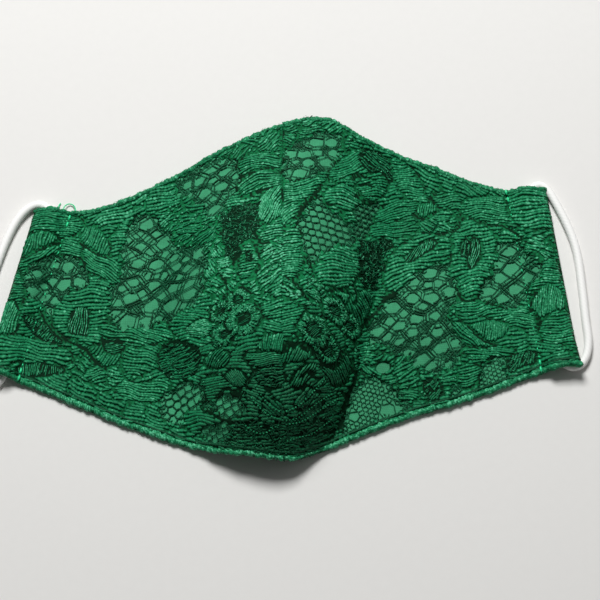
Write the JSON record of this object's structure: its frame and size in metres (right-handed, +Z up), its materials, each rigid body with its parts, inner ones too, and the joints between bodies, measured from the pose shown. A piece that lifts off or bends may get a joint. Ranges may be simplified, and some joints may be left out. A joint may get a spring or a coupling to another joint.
{
  "type": "lace face mask",
  "caption": "Contoured sewn face mask of green floral lace over a plain green lining, with side casings holding white elastic ear loops; it lies outer side up with a raised dome.",
  "frame": {"origin": "on the surface that the mask lies on, under the middle of its plan", "axes": "+X across the mask towards the ear loop that is on the right in the picture, +Y towards the nose edge, +Z up, out of the mask's outer side"},
  "size_m": [0.2457, 0.1413, 0.0388],
  "materials": {
    "lining_cloth": "plain woven green cloth with a faint sheen",
    "lace": "dark green ribbed floral lace",
    "elastic": "soft white knitted elastic"
  },
  "bodies": {
    "root": {"lining_left": "lining_cloth", "lining_right": "lining_cloth", "lace_left": "lace", "lace_right": "lace", "ear_loop_left": "elastic", "ear_loop_right": "elastic"}
  },
  "joints": []
}
